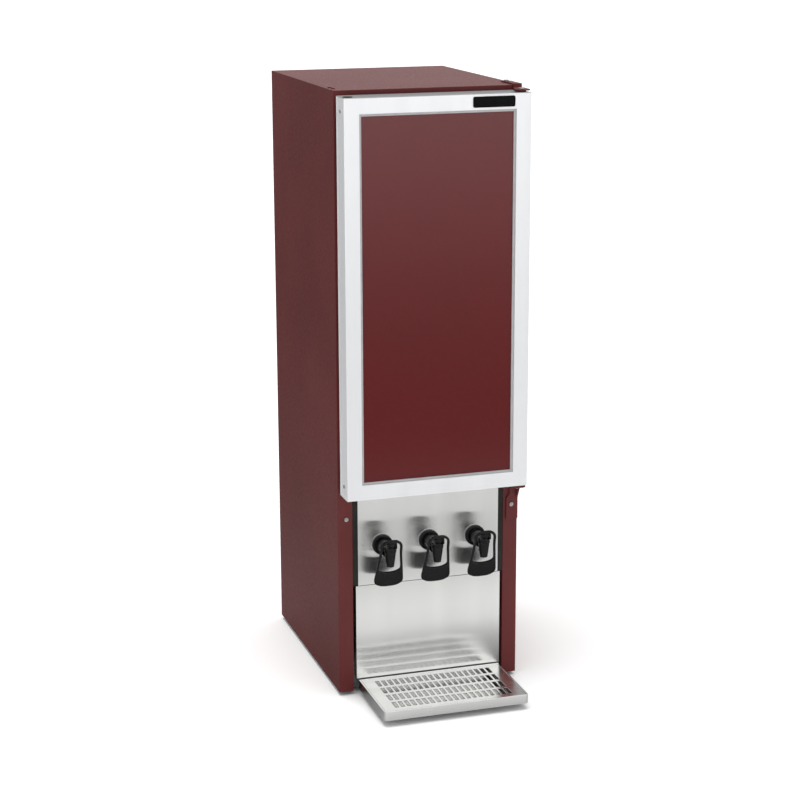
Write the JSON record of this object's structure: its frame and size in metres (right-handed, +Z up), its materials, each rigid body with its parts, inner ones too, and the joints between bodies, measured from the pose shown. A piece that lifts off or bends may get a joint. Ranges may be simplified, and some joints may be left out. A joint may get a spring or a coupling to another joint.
{
  "type": "wine preservation dispenser",
  "caption": "Tall refrigerated dispenser for bagged wine: framed door over push-lever taps, splash panel and a drip tray with slotted grille.",
  "frame": {"origin": "on the floor, centred across the width and between the drip tray's front edge and the cabinet's back", "axes": "+X to the right seen from the front, +Y to the back, +Z up"},
  "size_m": [0.29, 0.503, 0.9348],
  "materials": {
    "burgundy_paint": "satin powder coat, burgundy",
    "door_insert_paint": "smooth satin paint, burgundy",
    "frame_aluminium": "satin anodised extrusion",
    "bead_plastic": "grey",
    "badge_black": "black, bare",
    "brushed_stainless": "brushed",
    "tray_stainless": "brushed, bright",
    "tap_plastic": "moulded, black",
    "trim_plastic": "moulded, near black",
    "gasket_rubber": "soft, dark",
    "seal_rubber": "silicone",
    "liner_plastic": "white, vacuum formed",
    "foam": "rigid insulation foam",
    "galvanised_steel": "zinc coated",
    "screw_steel": "zinc plated",
    "hinge_steel": "plated",
    "shelf_wire": "plated wire",
    "evaporator_aluminium": "plain roll-bond plate",
    "compressor_black": "black enamel",
    "condenser_black": "black",
    "drier_copper": "copper",
    "foot_plastic": "black",
    "knob_plastic": "white"
  },
  "bodies": {
    "cabinet": {"side_panel_left": "burgundy_paint", "side_panel_right": "burgundy_paint", "top_panel": "burgundy_paint", "base_pan": "galvanised_steel", "rear_panel": "galvanised_steel", "rear_crossbar": "galvanised_steel", "cable_gland": "trim_plastic", "feet": "foot_plastic", "cabinet_screws": "screw_steel", "hole_plugs": "burgundy_paint", "top_hinge_bracket": "burgundy_paint", "lower_hinge_bracket": "burgundy_paint", "hinge_pins": "hinge_steel", "breaker_frame": "liner_plastic", "liner": "liner_plastic", "hose_well": "liner_plastic", "shelf_ledges": "liner_plastic", "insulation": "foam", "evaporator_plate": "evaporator_aluminium", "thermostat_housing": "liner_plastic", "tap_panel": "brushed_stainless", "splash_panel": "brushed_stainless", "side_trims": "trim_plastic", "lever_pins": "hinge_steel", "stem_seals": "seal_rubber", "tap_nuts": "tap_plastic", "tap_washers": "brushed_stainless", "compressor": "compressor_black", "compressor_grommets": "seal_rubber", "terminal_box": "trim_plastic", "condenser": "condenser_black", "filter_drier": "drier_copper", "tap_body_1": "tap_plastic", "tap_body_2": "tap_plastic", "tap_body_3": "tap_plastic"},
    "door": {"door_stile_left": "frame_aluminium", "door_stile_right": "frame_aluminium", "door_rail_top": "frame_aluminium", "door_rail_foot": "frame_aluminium", "door_bushes": "trim_plastic", "door_screws": "screw_steel", "door_plugs": "trim_plastic", "insert_bead": "bead_plastic", "door_insert": "door_insert_paint", "door_foam": "foam", "door_inner_panel": "liner_plastic", "door_gasket": "gasket_rubber", "badge_plate": "badge_black"},
    "tray": {"drip_tray": "tray_stainless"},
    "grille": {"drip_grille": "tray_stainless"},
    "low_shelf": {"shelf_lower": "shelf_wire"},
    "high_shelf": {"shelf_upper": "shelf_wire"},
    "knob": {"thermostat_knob": "knob_plastic"},
    "lever_1": {"tap_lever_1": "tap_plastic"},
    "plunger_1": {"tap_plunger_1": "seal_rubber"},
    "lever_2": {"tap_lever_2": "tap_plastic"},
    "plunger_2": {"tap_plunger_2": "seal_rubber"},
    "lever_3": {"tap_lever_3": "tap_plastic"},
    "plunger_3": {"tap_plunger_3": "seal_rubber"}
  },
  "joints": [
    {"name": "door_hinge", "type": "hinge", "parent": "cabinet", "child": "door", "pos_m": [0.132, -0.1445, 0.33], "axis": [0, 0, 1], "range_deg": [0, 115]},
    {"name": "tray_slide", "type": "slide", "parent": "cabinet", "child": "tray", "axis": [0, -1, 0], "range_m": [0, 0.04]},
    {"name": "grille_lift", "type": "slide", "parent": "tray", "child": "grille", "axis": [0, 0, 1], "range_m": [0, 0.03]},
    {"name": "low_shelf_slide", "type": "slide", "parent": "cabinet", "child": "low_shelf", "axis": [0, -1, 0], "range_m": [0, 0.045]},
    {"name": "high_shelf_slide", "type": "slide", "parent": "cabinet", "child": "high_shelf", "axis": [0, -1, 0], "range_m": [0, 0.045]},
    {"name": "knob_turn", "type": "hinge", "parent": "cabinet", "child": "knob", "pos_m": [0.08, -0.0135, 0.858], "axis": [-1, 0, 0], "range_deg": [0, 270]},
    {"name": "lever_push_1", "type": "hinge", "parent": "cabinet", "child": "lever_1", "pos_m": [-0.075, -0.1635, 0.254], "axis": [1, 0, 0], "range_deg": [0, 13], "stiffness_Nm_per_rad": 0.3, "springref_deg": -17.19},
    {"name": "stem_swing_1", "type": "hinge", "parent": "lever_1", "child": "plunger_1", "pos_m": [-0.075, -0.1555, 0.25308], "axis": [1, 0, 0], "range_deg": [-13, 0]},
    {"name": "lever_push_2", "type": "hinge", "parent": "cabinet", "child": "lever_2", "pos_m": [0, -0.1635, 0.254], "axis": [1, 0, 0], "range_deg": [0, 13], "stiffness_Nm_per_rad": 0.3, "springref_deg": -17.19},
    {"name": "stem_swing_2", "type": "hinge", "parent": "lever_2", "child": "plunger_2", "pos_m": [0, -0.1555, 0.25308], "axis": [1, 0, 0], "range_deg": [-13, 0]},
    {"name": "lever_push_3", "type": "hinge", "parent": "cabinet", "child": "lever_3", "pos_m": [0.075, -0.1635, 0.254], "axis": [1, 0, 0], "range_deg": [0, 13], "stiffness_Nm_per_rad": 0.3, "springref_deg": -17.19},
    {"name": "stem_swing_3", "type": "hinge", "parent": "lever_3", "child": "plunger_3", "pos_m": [0.075, -0.1555, 0.25308], "axis": [1, 0, 0], "range_deg": [-13, 0]}
  ],
  "couplings": [
    {"joint": "stem_swing_1", "follows": "lever_push_1", "ratio": -1},
    {"joint": "stem_swing_2", "follows": "lever_push_2", "ratio": -1},
    {"joint": "stem_swing_3", "follows": "lever_push_3", "ratio": -1}
  ]
}
